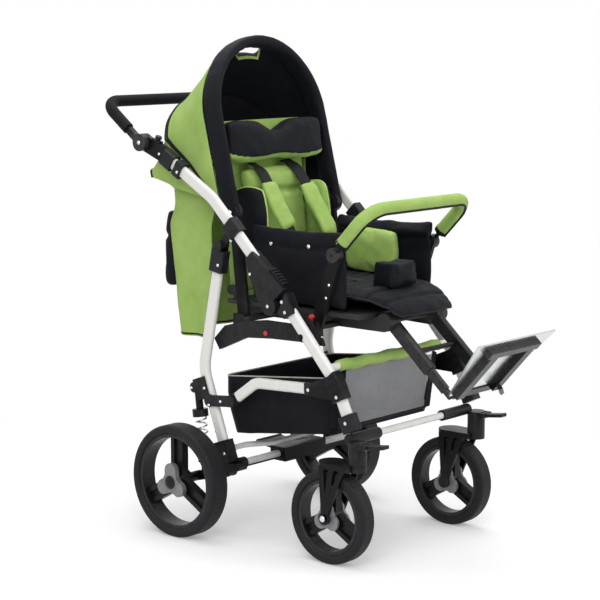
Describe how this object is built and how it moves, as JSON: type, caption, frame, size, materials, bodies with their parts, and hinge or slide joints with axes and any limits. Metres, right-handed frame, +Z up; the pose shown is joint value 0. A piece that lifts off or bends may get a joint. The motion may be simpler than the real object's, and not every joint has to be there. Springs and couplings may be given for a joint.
{
  "type": "special needs buggy",
  "caption": "Folding rehabilitation pushchair with a padded supportive seat, hood, bumper bar, legrest with footplate, sprung rear wheels, swivelling front wheels and a basket.",
  "frame": {"origin": "middle of the footprint, on the ground", "axes": "+Z up, the front faces -Y, the occupant's right side is -X"},
  "size_m": [0.64, 1.0788, 1.1862],
  "materials": {
    "tube_white": "warm white powder coat",
    "casting": "black glass filled nylon",
    "black_metal": "black powder coat",
    "foam": "black foam",
    "rubber": "charcoal tyre",
    "rim": "black moulded wheel",
    "hub": "grey moulded cap",
    "green": "lime woven cloth",
    "black_cloth": "black woven cloth",
    "net": "grey mesh",
    "steel": "zinc plated",
    "plate": "bare sheet",
    "red": "red moulding",
    "board": "black board"
  },
  "bodies": {
    "chassis": {"front_legs": "tube_white", "leg_castings": "casting", "cross_tubes": "tube_white", "cross_tube_sleeve": "green", "seat_plates": "casting", "seat_base": "board", "seat_pad": "black_cloth", "side_panels": "black_cloth", "hip_pads": "green", "pommel": "black_cloth", "basket": "black_cloth", "basket_mesh": "net", "hood_fabric": "green", "back_cover": "green", "rear_pocket": "black_cloth", "chassis_rivets": "steel"},
    "upper_frame": {"upper_tubes": "tube_white", "upper_fittings": "casting"},
    "fold_catches": {"fold_catches": "casting"},
    "push_handle": {"handle_tube": "black_metal", "handle_grip": "foam"},
    "angle_buttons": {"angle_buttons": "casting"},
    "rear_frame": {"rear_legs": "tube_white", "rear_fittings": "casting", "brake_housing": "casting", "shock_springs": "steel"},
    "brake_pedal": {"brake_pedal": "casting"},
    "side_links": {"side_links": "tube_white", "link_eyes": "casting"},
    "swing_arm_l": {"swing_arm_l": "black_metal"},
    "swing_arm_r": {"swing_arm_r": "black_metal"},
    "rear_wheel_l": {"rear_tyre_l": "rubber", "rear_rim_l": "rim", "rear_cap_l": "hub"},
    "rear_wheel_r": {"rear_tyre_r": "rubber", "rear_rim_r": "rim", "rear_cap_r": "hub"},
    "caster_l": {"caster_fork_l": "casting"},
    "caster_r": {"caster_fork_r": "casting"},
    "front_wheel_l": {"front_tyre_l": "rubber", "front_rim_l": "rim", "front_cap_l": "hub"},
    "front_wheel_r": {"front_tyre_r": "rubber", "front_rim_r": "rim", "front_cap_r": "hub"},
    "swivel_lock_l": {"swivel_lock_l": "casting"},
    "swivel_lock_r": {"swivel_lock_r": "casting"},
    "backrest": {"back_board": "board", "back_cushion": "green", "trunk_supports": "black_cloth", "harness": "black_cloth"},
    "headrest": {"headrest": "black_cloth"},
    "hood_bow": {"hood_bow": "black_cloth"},
    "bumper": {"bumper_bar": "black_metal", "bumper_cover": "green"},
    "legrest": {"legrest_frame": "black_metal"},
    "foot_tubes": {"foot_tubes": "black_metal"},
    "footplate": {"footplate": "plate", "footplate_frame": "black_metal"},
    "seat_latches": {"seat_latches": "red"}
  },
  "joints": [
    {"name": "fold", "type": "hinge", "parent": "chassis", "child": "upper_frame", "pos_m": [0, -0.01427, 0.571], "axis": [1, 0, 0], "range_deg": [-50, 0]},
    {"name": "rear_leg_fold", "type": "hinge", "parent": "upper_frame", "child": "rear_frame", "pos_m": [0, 0.14273, 0.698], "axis": [1, 0, 0], "range_deg": [0, 29.75]},
    {"name": "side_link_fold", "type": "hinge", "parent": "chassis", "child": "side_links", "pos_m": [0, -0.13627, 0.393], "axis": [1, 0, 0], "range_deg": [-34.45, 0]},
    {"name": "fold_catch", "type": "slide", "parent": "upper_frame", "child": "fold_catches", "axis": [0, 0.768, 0.6405], "range_m": [0, 0.008], "stiffness_N_per_m": 600, "springref_m": -0.004},
    {"name": "handle_angle", "type": "hinge", "parent": "upper_frame", "child": "push_handle", "pos_m": [0, 0.40073, 0.926], "axis": [1, 0, 0], "range_deg": [-45, 30]},
    {"name": "angle_button", "type": "slide", "parent": "upper_frame", "child": "angle_buttons", "axis": [0, 0.3714, -0.9285], "range_m": [0, 0.003], "stiffness_N_per_m": 700, "springref_m": -0.003},
    {"name": "brake_pedal", "type": "hinge", "parent": "rear_frame", "child": "brake_pedal", "pos_m": [0, 0.11923, 0.181], "axis": [1, 0, 0], "range_deg": [-22, 0]},
    {"name": "suspension_l", "type": "hinge", "parent": "rear_frame", "child": "swing_arm_l", "pos_m": [0.225, 0.12173, 0.162], "axis": [1, 0, 0], "range_deg": [0, 6], "stiffness_Nm_per_rad": 60, "springref_deg": -20.05, "deforming": ["shock_springs"]},
    {"name": "rear_wheel_l", "type": "hinge", "parent": "swing_arm_l", "child": "rear_wheel_l", "pos_m": [0.287, 0.22573, 0.135], "axis": [1, 0, 0], "continuous": true},
    {"name": "caster_l", "type": "hinge", "parent": "chassis", "child": "caster_l", "pos_m": [0.225, -0.26827, 0.237], "axis": [0, 0, 1], "continuous": true},
    {"name": "front_wheel_l", "type": "hinge", "parent": "caster_l", "child": "front_wheel_l", "pos_m": [0.225, -0.19527, 0.1085], "axis": [1, 0, 0], "continuous": true},
    {"name": "swivel_lock_l", "type": "hinge", "parent": "chassis", "child": "swivel_lock_l", "pos_m": [0.225, -0.29627, 0.2826], "axis": [1, 0, 0], "range_deg": [-25, 0]},
    {"name": "suspension_r", "type": "hinge", "parent": "rear_frame", "child": "swing_arm_r", "pos_m": [-0.225, 0.12173, 0.162], "axis": [1, 0, 0], "range_deg": [0, 6], "stiffness_Nm_per_rad": 60, "springref_deg": -20.05},
    {"name": "rear_wheel_r", "type": "hinge", "parent": "swing_arm_r", "child": "rear_wheel_r", "pos_m": [-0.287, 0.22573, 0.135], "axis": [1, 0, 0], "continuous": true},
    {"name": "caster_r", "type": "hinge", "parent": "chassis", "child": "caster_r", "pos_m": [-0.225, -0.26827, 0.237], "axis": [0, 0, 1], "continuous": true},
    {"name": "front_wheel_r", "type": "hinge", "parent": "caster_r", "child": "front_wheel_r", "pos_m": [-0.225, -0.19527, 0.1085], "axis": [1, 0, 0], "continuous": true},
    {"name": "swivel_lock_r", "type": "hinge", "parent": "chassis", "child": "swivel_lock_r", "pos_m": [-0.225, -0.29627, 0.2826], "axis": [1, 0, 0], "range_deg": [-25, 0]},
    {"name": "recline", "type": "hinge", "parent": "chassis", "child": "backrest", "pos_m": [0, 0.18773, 0.58], "axis": [1, 0, 0], "range_deg": [-15, 0]},
    {"name": "headrest_height", "type": "slide", "parent": "backrest", "child": "headrest", "axis": [0, 0.1045, 0.9945], "range_m": [0, 0.05]},
    {"name": "hood_fold", "type": "hinge", "parent": "chassis", "child": "hood_bow", "pos_m": [0, 0.14773, 0.77], "axis": [1, 0, 0], "range_deg": [-44, 0], "deforming": ["hood_fabric"]},
    {"name": "bumper_swing", "type": "hinge", "parent": "chassis", "child": "bumper", "pos_m": [0, -0.16227, 0.695], "axis": [1, 0, 0], "range_deg": [-70, 0]},
    {"name": "legrest_angle", "type": "hinge", "parent": "chassis", "child": "legrest", "pos_m": [0, -0.24527, 0.541], "axis": [1, 0, 0], "range_deg": [-10, 30]},
    {"name": "foot_length", "type": "slide", "parent": "legrest", "child": "foot_tubes", "axis": [0, -0.7431, -0.6691], "range_m": [0, 0.04]},
    {"name": "footplate_flip", "type": "hinge", "parent": "foot_tubes", "child": "footplate", "pos_m": [0, -0.41322, 0.38978], "axis": [1, 0, 0], "range_deg": [-45, 0]},
    {"name": "seat_latch", "type": "hinge", "parent": "chassis", "child": "seat_latches", "pos_m": [0, -0.10323, 0.54344], "axis": [1, 0, 0], "range_deg": [-25, 0]}
  ],
  "couplings": [
    {"joint": "rear_leg_fold", "follows": "fold", "ratio": -0.594},
    {"joint": "side_link_fold", "follows": "fold", "ratio": 0.688}
  ]
}
